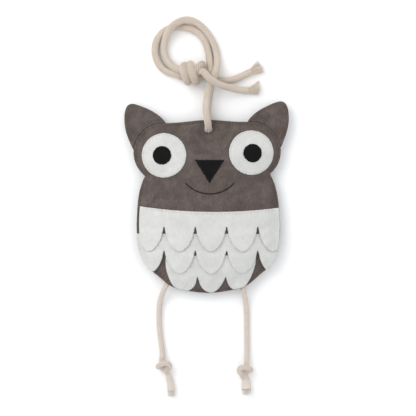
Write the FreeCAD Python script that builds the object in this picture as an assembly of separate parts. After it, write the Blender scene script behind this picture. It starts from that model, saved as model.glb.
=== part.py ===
"""Stuffed suede owl that hangs from a doubled rope, with two knotted cord legs.

The owl lies on its back: +X to the viewer's right, +Y towards the top of the head, +Z out of the face.
The origin is the middle of the sewn body's outline, on the surface that the owl lies on. Millimetres.
"""
import FreeCAD, Part
import math
import os

V = FreeCAD.Vector

# ---------------------------------------------------------------- driving dimensions, mm
SUEDE = 1.4               # thickness of each suede layer of the body and ears
FELT = 1.2                # thickness of the white suede and black pieces sewn on top
SEAM_Z = 12.5             # height of the seam between the front and back panels
FLANGE = 3.0              # flat edge outside the line of stitches
FRONT_PUFF = 17.0         # rise of the stuffed front above its flat edge
FRONT_ROUNDING = 24.0     # how far in from the edge the front keeps rising
BACK_PUFF = 12.1          # the same for the back, which the table flattens
BACK_ROUNDING = 18.0
LAY_GAP = 0.1             # gap under a piece that is sewn flat on another
INSIDE_GAP = 0.3          # gap between the filling and the suede
FLAP_GAP = 0.5            # gap under a feather row, which lifts
GRID = 4.0                # spacing of the points that shape the puffed surfaces
GRID_MARGIN = 10.0        # how far those surfaces reach past the outline

CHEEK_X = 53.2            # centre and radius of each round cheek
CHEEK_Y = 55.2
CHEEK_R = 35.3
NECK_ANGLE = -51.8        # where the cheek's arc meets the body's side, degrees
CROWN_Y = 93.6            # top of the head, midway between the cheeks
BROW_X = 0.61             # where the crown dips between them, as a share of CHEEK_X
BROW_RISE = 0.6           # above the cheek's top there
BODY_HALF_WIDTH = 86.2
BODY_DROP = 141.8         # from the neck's notches to the bottom of the body
SIDE_SHAPE = ((0.926, 0.075), (0.993, 0.329), (1.0, 0.447), (0.983, 0.583), (0.933, 0.701),
              (0.835, 0.786), (0.696, 0.858), (0.529, 0.938), (0.278, 0.983))

HOLE_X = 1.9              # rope hole, through both panels near the top of the head
HOLE_BELOW_CROWN = 11.1
ROPE_D = 8.8
HOLE_CLEARANCE = 0.7      # round the rope
DIMPLE_INNER = 7.0        # the stuffing is pressed away round the hole
DIMPLE_OUTER = 24.0

EYE_D = 53.5
EYES = {                  # eye's centre from the cheek's centre, then the pupil's centre from the eye's
    "left": {"side": -1, "eye": (1.6, -3.7), "pupil": (-2.3, -0.2)},
    "right": {"side": 1, "eye": (-0.4, -2.2), "pupil": (1.3, -0.8)},
}
PUPIL_D = 22.3
BEAK = ((-14.8, 45.1), (20.6, 44.5), (2.0, 17.0))
SMILE = ((-26.0, 17.6), (-0.4, 4.5), (31.3, 16.7))
SMILE_WIDTH = 1.4

THREAD = 0.7              # width of a line of stitches
THREAD_DEPTH = 0.4        # thickness of the thread
THREAD_SINK = 0.25        # how far a stitch is pulled into the suede
STITCH = 3.2              # length of one stitch
STITCH_PITCH = 4.4
EYE_STITCH_INSET = 1.8
BEAK_STITCH_INSET = 1.2

EAR_ROOT_TOP = 96.8       # directions of the ear's two roots from the cheek's centre, degrees
EAR_ROOT_SIDE = 5.9
EAR_GAP = 0.4             # between the ear's edge and the head's
EAR_OUTER = ((52.6, 95.4), (61.2, 102.7), (76.2, 110.6), (84.0, 113.5), (90.0, 114.4), (94.2, 112.8),
             (97.0, 108.6), (98.8, 98.4), (98.2, 86.4), (93.0, 68.8))
EAR_STITCH_INSET = 3.0

BIB_TURN = -0.96          # the bib's slight turn on the belly, degrees
BIB_X = 3.7               # middle column of the scallops
SCALLOP_PITCH = 37.2
SCALLOP = ((0.965, 0.06), (0.90, 0.26), (0.80, 0.46), (0.65, 0.66), (0.54, 0.76), (0.36, 0.88))
# The bottom row's three scallops are cut freehand: the edge of each, from left to right.
BOTTOM_SCALLOPS = (
    ((-49.9, -68.7), (-50.6, -77.0), (-49.5, -87.3), (-45.3, -99.2), (-41.8, -105.2), (-28.7, -112.6),
     (-19.2, -109.1), (-14.9, -103.2), (-13.2, -97.0), (-12.4, -94.2)),
    ((-12.4, -94.2), (-10.9, -99.2), (-7.6, -107.1), (4.2, -113.9), (14.5, -107.1), (19.1, -99.2),
     (21.4, -94.0)),
    ((21.4, -94.0), (22.8, -99.2), (26.5, -107.1), (35.0, -110.9), (49.4, -99.2), (54.6, -87.3),
     (57.1, -77.0), (57.0, -68.7)),
)
BIB_TOP_LEFT = (-92.0, -8.4)
BIB_TOP_MIDDLE = (8.0, -16.9)
BIB_TOP_RIGHT = (94.0, -10.6)
FLAP_RISE = 1.9           # extra lift where a row lies over the next row
FLAP_RAMP = 6.0           # length over which it rises
FEATHER_STITCH_DROP = 2.4

# row name: top edge, notch tops, scallop bottoms, columns of scallops (the bottom row has its own edges),
# distance in from the body's edge and the sideways shift of that edge
ROWS = {
    "top": {"top": None, "notch": -34.4, "bottom": -64.4, "columns": (-2, -1, 0, 1, 2), "inset": 1.7, "shift": 1.3},
    "middle": {"top": -42.9, "notch": -62.7, "bottom": -90.9, "columns": (-2, -1, 0, 1, 2), "inset": 0.2,
               "shift": 0.0},
    "bottom": {"top": -68.7, "columns": (), "inset": 0.2, "shift": 0.0},
}
STITCH_END = 14.0         # how far a row's line of stitches stops short of its sides
TOP_STITCH_SAG = 1.8      # how far its ends hang below the top row's corners

LEG_D = 6.8
LEG_ROOT_LENGTH = 9.0     # cord end sewn between the panels
LEG_POCKET = 9.0          # radius of the swelling that holds it
TACK_BARS = 2
TACK_INSET = 1.9          # first stitch across it, in stitch spacings from the cord's end
TACK_ROOM = 0.8           # least distance from those stitches to the seam's

# Cords: the points of each route. The tube is straight runs joined by tangent arcs.
ROPE_FRONT = [
    (1.9, 94.5, 4.4), (1.9, 87.5, 4.4), (1.9, 82.5, 9.4), (1.9, 82.5, 16.4), (1.7, 87.5, 21.4),
    (0.6, 95.0, 21.3), (-1.0, 105.0, 17.0), (0.2, 115.5, 13.8), (2.2, 126.0, 15.6), (5.2, 136.0, 18.8),
    (9.6, 146.0, 18.2), (13.2, 156.0, 10.6), (14.2, 167.0, 5.2), (12.8, 179.0, 4.4), (8.6, 190.0, 4.4),
    (1.6, 200.6, 4.4), (-8.0, 208.8, 5.0), (-18.6, 213.0, 9.2), (-29.0, 211.6, 13.0), (-38.2, 206.2, 13.4),
    (-45.6, 197.6, 9.6), (-50.0, 187.0, 5.2), (-50.4, 175.8, 4.4), (-46.6, 165.6, 5.0), (-39.6, 158.4, 7.8),
    (-31.6, 154.6, 11.4), (-25.0, 152.8, 13.4),
]
ROPE_REAR = [
    (1.9, 94.5, 4.4), (1.5, 101.5, 4.4), (2.0, 110.5, 4.4), (3.4, 120.0, 5.0), (5.2, 129.5, 8.0),
    (6.2, 138.5, 12.0), (6.0, 147.5, 12.0), (5.4, 156.5, 7.8), (4.8, 166.5, 4.7), (3.6, 177.0, 4.4),
    (-0.4, 187.4, 4.4), (-7.4, 196.4, 4.4), (-17.0, 202.8, 4.4), (-28.4, 205.4, 4.4), (-40.6, 205.2, 4.4),
    (-51.0, 200.0, 4.4), (-58.0, 190.0, 4.4), (-60.1, 178.0, 4.4), (-57.6, 166.2, 4.4), (-51.0, 156.4, 4.4),
    (-42.4, 149.8, 5.0), (-33.4, 147.2, 7.2), (-25.4, 147.2, 9.4),
]
ROPE_FRONT_TAIL = [
    (-8.0, 152.0, 19.4), (-1.0, 147.0, 23.8), (6.2, 142.6, 25.9), (14.0, 138.4, 24.6), (22.4, 134.6, 19.4),
    (31.4, 131.4, 11.8), (41.0, 129.6, 6.0), (50.6, 129.0, 4.4),
]
ROPE_REAR_TAIL = [
    (-7.0, 148.6, 6.8), (1.0, 146.6, 4.8), (9.2, 144.0, 4.4), (18.0, 141.6, 4.4), (27.0, 141.2, 4.4),
    (36.4, 143.6, 4.4), (45.8, 147.6, 4.4), (54.4, 152.4, 4.4),
]
LEFT_LEG = [
    (-52.8, -106.2, 12.5), (-56.0, -112.9, 10.8), (-58.4, -118.8, 7.4), (-60.5, -127.5, 4.4),
    (-61.5, -138.6, 3.4), (-61.7, -150.7, 3.4), (-60.8, -163.0, 3.4), (-59.3, -175.5, 3.4),
    (-58.0, -187.4, 3.8), (-57.4, -195.4, 5.2),
]
RIGHT_LEG = [
    (40.8, -111.6, 12.5), (41.5, -117.0, 10.8), (43.1, -124.0, 7.0), (44.3, -132.6, 4.2), (44.7, -144.0, 3.4),
    (44.5, -158.6, 3.4), (44.4, -173.6, 3.4), (44.3, -187.6, 3.9), (43.4, -199.6, 5.2),
]
LEFT_FOOT = [(-54.6, -206.4, 5.2), (-52.0, -211.8, 3.9), (-50.1, -218.2, 3.4), (-48.7, -225.8, 3.4),
             (-48.3, -232.2, 3.4)]
RIGHT_FOOT = [(41.2, -213.4, 5.2), (41.9, -218.6, 3.9), (42.4, -225.0, 3.4), (42.7, -231.4, 3.4)]
ROPE_KNOT = {"centre": (-16.6, 150.4, 11.8), "length": 30.0, "across": 23.6, "turn": -4.0}
LEFT_KNOT = {"centre": (-56.7, -202.0, 6.5), "length": 18.0, "across": 13.0, "turn": 8.0}
RIGHT_KNOT = {"centre": (41.3, -208.2, 6.5), "length": 16.4, "across": 13.0, "turn": -4.0}
ROPE_FRAY = {"length": 14.0, "spread": 1.5}
FOOT_FRAY = {"length": 8.0, "spread": 1.3}
BALL_CLEARANCE = 0.5      # between a leg's rounded end and its sewn root

hole_y = CROWN_Y - HOLE_BELOW_CROWN
front_top_z = SEAM_Z + SUEDE
solids = {}


# ---------------------------------------------------------------- outlines
def on_circle(x, y, radius, degrees):
    angle = math.radians(degrees)
    return V(x + radius * math.cos(angle), y + radius * math.sin(angle), 0)


def mirror_x(point):
    return V(-point.x, point.y, point.z)


def spline(points, start=None, end=None):
    curve = Part.BSplineCurve()
    if start is None:
        curve.interpolate(points)
    else:
        curve.interpolate(Points=points, InitialTangent=start, FinalTangent=end)
    return curve.toShape()


def body_outline(margin=0.0):
    """Closed wire round the head and body, or a margin in from it: crown, two cheek arcs, one belly curve."""
    radius = CHEEK_R - margin
    cheek_top = V(CHEEK_X, CHEEK_Y + radius, 0)
    brow_x, brow_y = BROW_X * CHEEK_X, cheek_top.y + BROW_RISE
    brow = [V(-brow_x, brow_y, 0), V(0, CROWN_Y - margin, 0), V(brow_x, brow_y, 0)]
    crown = spline([mirror_x(cheek_top)] + brow + [cheek_top], V(1, 0, 0), V(1, 0, 0))
    neck = on_circle(CHEEK_X, CHEEK_Y, radius, NECK_ANGLE)
    middle = on_circle(CHEEK_X, CHEEK_Y, radius, (90 + NECK_ANGLE) / 2)
    right_cheek = Part.Arc(cheek_top, middle, neck).toShape()
    left_cheek = Part.Arc(mirror_x(neck), mirror_x(middle), mirror_x(cheek_top)).toShape()
    bottom_y = on_circle(CHEEK_X, CHEEK_Y, CHEEK_R, NECK_ANGLE).y - BODY_DROP + margin
    half_width = BODY_HALF_WIDTH - margin
    drop = neck.y - bottom_y
    right_side = [neck] + [V(half_width * fx, neck.y - drop * fy, 0) for fx, fy in SIDE_SHAPE]
    belly = spline(right_side + [V(0, bottom_y, 0)] + [mirror_x(p) for p in reversed(right_side)])
    return Part.Wire([crown, right_cheek, belly, left_cheek])


def ear_outline():
    """Right ear: its outer edge, and the arc that follows the cheek."""
    radius = CHEEK_R + EAR_GAP
    root_top = on_circle(CHEEK_X, CHEEK_Y, radius, EAR_ROOT_TOP)
    root_side = on_circle(CHEEK_X, CHEEK_Y, radius, EAR_ROOT_SIDE)
    middle = on_circle(CHEEK_X, CHEEK_Y, radius, (EAR_ROOT_TOP + EAR_ROOT_SIDE) / 2)
    outer = spline([root_top] + [V(x, y, 0) for x, y in EAR_OUTER] + [root_side])
    return Part.Wire([outer, Part.Arc(root_side, middle, root_top).toShape()])


def inset(wire, distance):
    return wire.makeOffset2D(-distance)


def prism(wire, low, high):
    """Upright solid between two heights, on a flat closed wire."""
    return Part.Face(wire).translated(V(0, 0, low)).extrude(V(0, 0, high - low))


outline = body_outline()


# ---------------------------------------------------------------- puffed surfaces
class Puff:
    """Heights of the stuffed front and back, from the distance in from the outline."""

    def __init__(self, wire):
        self.edge = [(p.x, p.y) for p in wire.discretize(Number=320)]
        box = wire.BoundBox
        self.columns = 2 * math.ceil((box.XMax + GRID_MARGIN) / GRID) + 1
        self.rows = math.ceil((box.YLength + 2 * GRID_MARGIN) / GRID) + 1
        self.x0 = -GRID * (self.columns - 1) / 2
        self.y0 = box.YMin - GRID_MARGIN
        self.depth = [[self.distance(self.x0 + GRID * i, self.y0 + GRID * j)
                       for j in range(self.rows)] for i in range(self.columns)]

    def distance(self, x, y):
        """Distance in from the outline, and 0 outside it."""
        nearest = 1e9
        inside = False
        ax, ay = self.edge[-1]
        for bx, by in self.edge:
            dx, dy = bx - ax, by - ay
            length = dx * dx + dy * dy
            along = max(0.0, min(1.0, ((x - ax) * dx + (y - ay) * dy) / length)) if length else 0.0
            nearest = min(nearest, math.hypot(x - ax - along * dx, y - ay - along * dy))
            if (ay > y) != (by > y) and x < ax + (y - ay) * dx / dy:
                inside = not inside
            ax, ay = bx, by
        return nearest if inside else 0.0

    def heights(self, rise, rounding):
        """Grid of heights above the flat edge, smoothed once."""
        raw = [[rise * (1 - math.exp(-max(0.0, d - FLANGE) / rounding)) for d in row] for row in self.depth]
        for i, row in enumerate(raw):
            for j in range(len(row)):
                row[j] *= self.dimple(self.x0 + GRID * i, self.y0 + GRID * j)
        return smooth(raw)

    def dimple(self, x, y):
        r = math.hypot(x - HOLE_X, y - hole_y)
        return ease((r - DIMPLE_INNER) / (DIMPLE_OUTER - DIMPLE_INNER))

    def surface(self, heights, level, sign=1.0, extra=None):
        """Surface at level + sign x height, with an extra height as a function of x and y."""
        grid = [[level + sign * h + (extra(self.x0 + GRID * i, self.y0 + GRID * j) if extra else 0.0)
                 for j, h in enumerate(row)] for i, row in enumerate(heights)]
        surface = Part.BSplineSurface()
        surface.interpolate(grid, self.x0, GRID, self.y0, GRID)
        return surface

    def height_at(self, surface, x, y):
        """Height of such a surface at x, y: its parameters run evenly along X and Y."""
        u0, u1, v0, v1 = surface.bounds()
        u = u0 + (u1 - u0) * (x - self.x0) / (GRID * (self.columns - 1))
        v = v0 + (v1 - v0) * (y - self.y0) / (GRID * (self.rows - 1))
        return surface.value(u, v).z


def ease(t):
    """Smooth step from 0 to 1."""
    t = max(0.0, min(1.0, t))
    return t * t * (3 - 2 * t)


def smooth(grid):
    """One pass of weights 1, 2, 1 along both directions, edges kept."""
    for _ in range(2):
        grid = [list(row) for row in zip(*grid)]
        grid = [[row[j] if j in (0, len(row) - 1) else (row[j - 1] + 2 * row[j] + row[j + 1]) / 4
                 for j in range(len(row))] for row in grid]
    return grid


def leg_pocket(x, y):
    """Swelling of the seam round each sewn-in cord end."""
    lift = 0.0
    for route in (LEFT_LEG, RIGHT_LEG):
        start, heading = root_start(route)
        middle = start + heading * (LEG_ROOT_LENGTH / 2)
        r = math.hypot(x - middle.x, y - middle.y)
        lift = max(lift, (LEG_D / 2) * math.exp(-(r / LEG_POCKET) ** 4))
    return lift


def root_start(route):
    """Where a leg's cord enters the seam, and the level direction into the body."""
    start = V(*route[0])
    heading = start - V(*route[1])
    heading.z = 0
    return start, heading.normalize()


puff = Puff(outline)
front_heights = puff.heights(FRONT_PUFF, FRONT_ROUNDING)
back_heights = puff.heights(BACK_PUFF, BACK_ROUNDING)
front_skin = puff.surface(front_heights, front_top_z, 1.0, leg_pocket)
back_skin = puff.surface(back_heights, SEAM_Z - SUEDE, -1.0, lambda x, y: -leg_pocket(x, y))


def layer(surface, bottom, thickness):
    """Solid that follows a surface, from bottom above it, with a thickness."""
    return surface.toShape().translated(V(0, 0, bottom)).extrude(V(0, 0, thickness))


TALL = 60.0               # taller than the owl, for cutting solids


def front_piece(wire, bottom, thickness, surface=None):
    """Sheet piece of the given outline that lies on the front panel."""
    return layer(surface or front_skin, bottom, thickness).common(prism(wire, -TALL, TALL))


def circle_wire(x, y, diameter):
    return Part.Wire(Part.makeCircle(diameter / 2, V(x, y, 0)))


# ---------------------------------------------------------------- body
def panels_and_filling():
    hole = Part.makeCylinder(ROPE_D / 2 + HOLE_CLEARANCE, TALL, V(HOLE_X, hole_y, 0))
    body = prism(outline, 0, TALL)
    solids["front_panel"] = layer(front_skin, -SUEDE, SUEDE).common(body).cut(hole)
    solids["back_panel"] = layer(back_skin, 0, SUEDE).common(body).cut(hole)
    under_front = layer(front_skin, -SUEDE - INSIDE_GAP - TALL, TALL)
    over_back = layer(back_skin, SUEDE + INSIDE_GAP, TALL)
    inside = prism(body_outline(FLANGE + 1), 0, TALL).common(under_front).common(over_back)
    for route in (LEFT_LEG, RIGHT_LEG):
        start, heading = root_start(route)
        room_length = LEG_D / 2 + BALL_CLEARANCE + LEG_ROOT_LENGTH + INSIDE_GAP
        inside = inside.cut(Part.makeCylinder(LEG_D / 2 + INSIDE_GAP, room_length, start, heading))
    solids["filling"] = largest(inside)


def largest(shape):
    return max(shape.Solids, key=lambda solid: solid.Volume)


# ---------------------------------------------------------------- face
def face_pieces():
    on_panel = LAY_GAP
    felt_top = LAY_GAP + FELT
    for side, eye in EYES.items():
        x = eye["side"] * CHEEK_X + eye["eye"][0]
        y = CHEEK_Y + eye["eye"][1]
        solids[side + "_eye"] = front_piece(circle_wire(x, y, EYE_D), on_panel, FELT)
        pupil = circle_wire(x + eye["pupil"][0], y + eye["pupil"][1], PUPIL_D)
        solids[side + "_pupil"] = front_piece(pupil, felt_top + LAY_GAP, FELT)
        ring = circle_wire(x, y, EYE_D - 2 * EYE_STITCH_INSET)
        solids[side + "_eye_stitching"] = stitches(ring, felt_top)
    corners = [V(x, y, 0) for x, y in BEAK]
    beak = Part.makePolygon(corners + [corners[0]])
    solids["beak"] = front_piece(beak, on_panel, FELT)
    solids["beak_stitching"] = stitches(inset(beak, BEAK_STITCH_INSET), felt_top)
    solids["smile_thread"] = smile()


def smile():
    """Thread in a shallow arc: the band between two arcs."""
    points = [V(x, y, 0) for x, y in SMILE]
    half = V(0, SMILE_WIDTH / 2, 0)
    lower = Part.Arc(*[p - half for p in points]).toShape()
    upper = Part.Arc(*[p + half for p in reversed(points)]).toShape()
    ends = [Part.LineSegment(points[2] - half, points[2] + half).toShape(),
            Part.LineSegment(points[0] + half, points[0] - half).toShape()]
    return front_piece(Part.Wire([lower, ends[0], upper, ends[1]]), LAY_GAP, THREAD_DEPTH)


# ---------------------------------------------------------------- stitches
def stitches(wire, top, surface=None, level=None):
    """Separate stitches along a wire, each a small bar pulled into the piece whose top they cross.

    top is that piece's top above the surface; a flat piece gives its own level instead."""
    count = max(3, round(wire.Length / STITCH_PITCH))
    steps = 8
    points = wire.discretize(Number=count * steps + 1)
    bars = []
    for k in range(count):
        a = points[k * steps]
        b = points[k * steps + round(steps * STITCH / STITCH_PITCH)]
        if level is None:
            skin = surface or front_skin
            a = V(a.x, a.y, puff.height_at(skin, a.x, a.y) + top - THREAD_SINK)
            b = V(b.x, b.y, puff.height_at(skin, b.x, b.y) + top - THREAD_SINK)
        else:
            a = V(a.x, a.y, level - THREAD_SINK)
            b = V(b.x, b.y, level - THREAD_SINK)
        bars.append(bar(a, b))
    return Part.makeCompound(bars)


def bar(a, b):
    """Box of thread from a to b, THREAD wide and THREAD_DEPTH thick, standing on that line."""
    along = b - a
    side = V(-along.y, along.x, 0).normalize() * (THREAD / 2)
    base = Part.makePolygon([a - side, a + side, b + side, b - side, a - side])
    return Part.Face(base).extrude(V(0, 0, THREAD_DEPTH))


def edge_stitching():
    """The seam's stitches. Those that would meet the stitches across the cords' ends are left out."""
    bars = stitches(body_outline(FLANGE), 0).Solids
    tacks = [tack(*sewn_end(route)) for route in (LEFT_LEG, RIGHT_LEG)]
    kept = [b for b in bars if all(b.distToShape(t)[0] > TACK_ROOM for t in tacks)]
    solids["edge_stitching"] = Part.makeCompound(kept)


# ---------------------------------------------------------------- ears
def ears():
    right = ear_outline()
    seam = inset(right, EAR_STITCH_INSET)
    for side, sign in (("left", -1), ("right", 1)):
        front = prism(right, SEAM_Z + LAY_GAP / 2, SEAM_Z + SUEDE)
        back = prism(right, SEAM_Z - SUEDE, SEAM_Z - LAY_GAP / 2)
        thread = stitches(seam, 0, level=SEAM_Z + SUEDE)
        for name, shape in (("_ear_front", front), ("_ear_back", back), ("_ear_stitching", thread)):
            solids[side + name] = shape if sign > 0 else shape.mirror(V(0, 0, 0), V(1, 0, 0))


# ---------------------------------------------------------------- feather rows
def scallop(column, row):
    """Points of one scallop's edge from left to right. SCALLOP holds shares of its half width and depth."""
    middle = BIB_X + SCALLOP_PITCH * column
    half = SCALLOP_PITCH / 2
    depth = row["notch"] - row["bottom"]
    side = [(1.0, row["notch"])] + [(x, row["notch"] - depth * y) for x, y in SCALLOP]
    return ([(middle - half * x, y) for x, y in side] + [(middle, row["bottom"])]
            + [(middle + half * x, y) for x, y in reversed(side)])


def row_edges(row):
    return [scallop(column, row) for column in row["columns"]] or BOTTOM_SCALLOPS


def row_wire(row):
    """Closed flat outline of one feather row before it is trimmed to the body."""
    scallops = row_edges(row)
    edges = [spline([V(x, y, 0) for x, y in points]) for points in scallops]
    left, right = V(*scallops[0][0], 0), V(*scallops[-1][-1], 0)
    if row["top"] is None:
        top_left, top_right = V(*BIB_TOP_LEFT, 0), V(*BIB_TOP_RIGHT, 0)
        top = Part.Arc(top_right, V(*BIB_TOP_MIDDLE, 0), top_left).toShape()
    else:
        top_left, top_right = V(left.x, row["top"], 0), V(right.x, row["top"], 0)
        top = Part.LineSegment(top_right, top_left).toShape()
    for a, b in ((right, top_right), (top_left, left)):
        if a.distanceToPoint(b) > 0.01:
            edges.append(Part.LineSegment(a, b).toShape())
    wire = Part.Wire(Part.__sortEdges__(edges + [top]))
    return wire.rotated(V(0, 0, 0), V(0, 0, 1), BIB_TURN)


def ramp_over(next_top):
    """Extra height where a row lies over the next row's top edge."""
    def extra(x, y):
        level_y = y - math.tan(math.radians(BIB_TURN)) * x
        return leg_pocket(x, y) + FLAP_RISE * ease((next_top + FLAP_RAMP - level_y) / FLAP_RAMP)
    return extra


def feather_rows():
    names = list(ROWS)
    for index, name in enumerate(names):
        row = ROWS[name]
        surface = front_skin
        if index + 1 < len(names):
            surface = puff.surface(front_heights, front_top_z, 1.0, ramp_over(ROWS[names[index + 1]]["top"]))
        trim = prism(body_outline(row["inset"]), -TALL, TALL).translated(V(row["shift"], 0, 0))
        sheet = layer(surface, FLAP_GAP, FELT).common(trim).common(prism(row_wire(row), -TALL, TALL))
        solids["feather_row_" + name] = largest(sheet)
        solids["feather_stitching_" + name] = row_stitching(row, surface)


def row_stitching(row, surface):
    """Line of stitches just under a row's top edge."""
    if row["top"] is None:
        points = [V(BIB_TOP_LEFT[0] + STITCH_END, BIB_TOP_LEFT[1] - TOP_STITCH_SAG, 0), V(*BIB_TOP_MIDDLE, 0),
                  V(BIB_TOP_RIGHT[0] - STITCH_END, BIB_TOP_RIGHT[1] - TOP_STITCH_SAG, 0)]
        line = Part.Arc(*points).toShape()
    else:
        scallops = row_edges(row)
        left = max(scallops[0][0][0], -BODY_HALF_WIDTH) + STITCH_END
        right = min(scallops[-1][-1][0], BODY_HALF_WIDTH) - STITCH_END
        line = Part.LineSegment(V(left, row["top"], 0), V(right, row["top"], 0)).toShape()
    line = line.translated(V(0, -FEATHER_STITCH_DROP, 0)).rotated(V(0, 0, 0), V(0, 0, 1), BIB_TURN)
    return stitches(Part.Wire([line]), FLAP_GAP + FELT, surface)


# ---------------------------------------------------------------- cords
def rounded_path(points):
    """Straight runs joined by tangent arcs, each as large as its two runs allow."""
    p = [V(*point) for point in points]
    edges = []
    here = p[0]
    radii = []
    for a, b, c in zip(p, p[1:], p[2:]):
        back, ahead = (a - b), (c - b)
        shorter = min(back.Length, ahead.Length)
        back.normalize()
        ahead.normalize()
        turn = math.pi - back.getAngle(ahead)
        cut = 0.45 * shorter
        radius = cut / math.tan(turn / 2)
        radii.append(radius)
        start, end = b + back * cut, b + ahead * cut
        bisector = (back + ahead).normalize()
        middle = b + bisector * (radius / math.cos(turn / 2) - radius)
        edges.append(Part.LineSegment(here, start).toShape())
        edges.append(Part.Arc(start, middle, end).toShape())
        here = end
    edges.append(Part.LineSegment(here, p[-1]).toShape())
    return Part.Wire(edges), radii


def tube(name, points, diameter):
    """Round tube along a route, with its radii and length printed."""
    path, radii = rounded_path(points)
    start, heading = V(*points[0]), V(*points[1]) - V(*points[0])
    section = Part.Wire(Part.makeCircle(diameter / 2, start, heading))
    solid = path.makePipeShell([section], True, True)
    expected = math.pi * diameter ** 2 / 4 * path.Length
    print(name, "length %.1f" % path.Length, "volume ratio %.4f" % (solid.Volume / expected),
          "radii", " ".join("%.0f" % r for r in radii))
    return solid


def spheroid(knot):
    """Closed solid of a knot's outer shape: an egg turned about the X axis."""
    a, b = knot["length"] / 2, knot["across"] / 2
    ellipse = Part.Ellipse(V(0, 0, 0), a, b)
    arc = Part.ArcOfEllipse(ellipse, 0, math.pi).toShape()
    axis = Part.LineSegment(V(-a, 0, 0), V(a, 0, 0)).toShape()
    solid = Part.Face(Part.Wire([arc, axis])).revolve(V(0, 0, 0), V(1, 0, 0), 360)
    solid = Part.Solid(solid) if solid.ShapeType == "Shell" else solid
    return solid.rotated(V(0, 0, 0), V(0, 0, 1), knot["turn"]).translated(V(*knot["centre"]))


def frayed_end(route, diameter, fray):
    """Loose tuft at a cord's end: a cone that widens away from it, kept above the table."""
    end, before = V(*route[-1]), V(*route[-2])
    heading = (end - before).normalize()
    cone = Part.makeCone(diameter / 2, diameter / 2 * fray["spread"], fray["length"], end, heading)
    floor = Part.makeBox(600, 600, 50, V(-300, -300, 0))
    return cone.common(floor)


def rope():
    solids["rope_front_strand"] = tube("rope_front_strand", ROPE_FRONT, ROPE_D)
    solids["rope_rear_strand"] = tube("rope_rear_strand", ROPE_REAR, ROPE_D)
    solids["rope_front_tail"] = tube("rope_front_tail", ROPE_FRONT_TAIL, ROPE_D)
    solids["rope_rear_tail"] = tube("rope_rear_tail", ROPE_REAR_TAIL, ROPE_D)
    solids["rope_knot"] = spheroid(ROPE_KNOT)
    solids["rope_front_fray"] = frayed_end(ROPE_FRONT_TAIL, ROPE_D, ROPE_FRAY)
    solids["rope_rear_fray"] = frayed_end(ROPE_REAR_TAIL, ROPE_D, ROPE_FRAY)


def legs():
    for side, route, foot, knot in (("left", LEFT_LEG, LEFT_FOOT, LEFT_KNOT),
                                    ("right", RIGHT_LEG, RIGHT_FOOT, RIGHT_KNOT)):
        cord = tube(side + "_leg_cord", route, LEG_D)
        ball = Part.makeSphere(LEG_D / 2, V(*route[0]))
        solids[side + "_leg_cord"] = cord.fuse(ball).removeSplitter()
        root_from, heading = sewn_end(route)
        solids[side + "_leg_root"] = Part.makeCylinder(LEG_D / 2, LEG_ROOT_LENGTH, root_from, heading)
        solids[side + "_leg_knot"] = spheroid(knot)
        solids[side + "_foot"] = tube(side + "_foot", foot, LEG_D)
        solids[side + "_foot_fray"] = frayed_end(foot, LEG_D, FOOT_FRAY)
        solids[side + "_leg_tack"] = tack(root_from, heading)


def sewn_end(route):
    """Where a cord's sewn end starts, and its heading into the body."""
    start, heading = root_start(route)
    return start + heading * (LEG_D / 2 + BALL_CLEARANCE), heading


def tack(start, heading):
    """Short stitches across the seam that hold a cord's end."""
    side = V(-heading.y, heading.x, 0) * (LEG_D / 2)
    bars = []
    for k in range(TACK_BARS):
        middle = start + heading * (LEG_ROOT_LENGTH * (k + TACK_INSET) / (TACK_BARS + TACK_INSET - 0.1))
        a, b = middle - side, middle + side
        a.z = puff.height_at(front_skin, a.x, a.y) - THREAD_SINK
        b.z = puff.height_at(front_skin, b.x, b.y) - THREAD_SINK
        bars.append(bar(a, b))
    return Part.makeCompound(bars)


panels_and_filling()
face_pieces()
edge_stitching()
ears()
feather_rows()
rope()
legs()

os.makedirs("parts", exist_ok=True)
for name, shape in solids.items():
    shape.exportStep("parts/" + name + ".step")
    box = shape.BoundBox
    print("%-26s solids %3d valid %s volume %9.1f x %.1f %.1f y %.1f %.1f z %.2f %.2f" % (
        name, len(shape.Solids), shape.isValid(), shape.Volume,
        box.XMin, box.XMax, box.YMin, box.YMax, box.ZMin, box.ZMax))
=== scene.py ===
"""The looks of the stuffed suede owl with its knotted rope and two cord legs.

Lengths are written in millimetres and go to Blender in metres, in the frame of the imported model:
+X to the viewer's right, +Y towards the top of the head, +Z out of the face, the table at Z = 0.
"""
import math
import random

import bmesh
import bpy
import numpy as np
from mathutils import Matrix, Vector, geometry, noise
from mathutils.bvhtree import BVHTree


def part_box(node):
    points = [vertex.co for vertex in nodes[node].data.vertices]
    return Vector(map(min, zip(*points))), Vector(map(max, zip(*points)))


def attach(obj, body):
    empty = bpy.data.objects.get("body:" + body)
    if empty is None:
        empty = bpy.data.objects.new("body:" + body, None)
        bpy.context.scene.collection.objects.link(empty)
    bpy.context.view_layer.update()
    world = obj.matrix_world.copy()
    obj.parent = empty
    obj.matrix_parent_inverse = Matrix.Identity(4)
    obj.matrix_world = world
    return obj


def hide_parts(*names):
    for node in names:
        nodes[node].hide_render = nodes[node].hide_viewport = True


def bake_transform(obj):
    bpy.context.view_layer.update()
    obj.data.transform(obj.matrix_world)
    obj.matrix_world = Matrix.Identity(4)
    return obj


MM = 0.001
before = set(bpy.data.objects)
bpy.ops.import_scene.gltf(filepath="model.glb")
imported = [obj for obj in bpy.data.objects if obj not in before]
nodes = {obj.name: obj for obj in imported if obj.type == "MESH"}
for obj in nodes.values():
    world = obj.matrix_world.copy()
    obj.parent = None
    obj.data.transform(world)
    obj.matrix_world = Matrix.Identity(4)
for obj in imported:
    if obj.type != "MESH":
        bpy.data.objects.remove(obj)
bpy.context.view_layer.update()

# ---------------------------------------------------------------- camera, light and table
VIEW_CENTRE = (-0.1, -12.3)     # what the camera looks down on
VIEW_WIDTH = 499.2              # width of the picture at the owl's middle height
VIEW_TURN = -0.956              # degrees about Z
OWL_MIDDLE_Z = 16.0
LENS = 110.0
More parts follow.
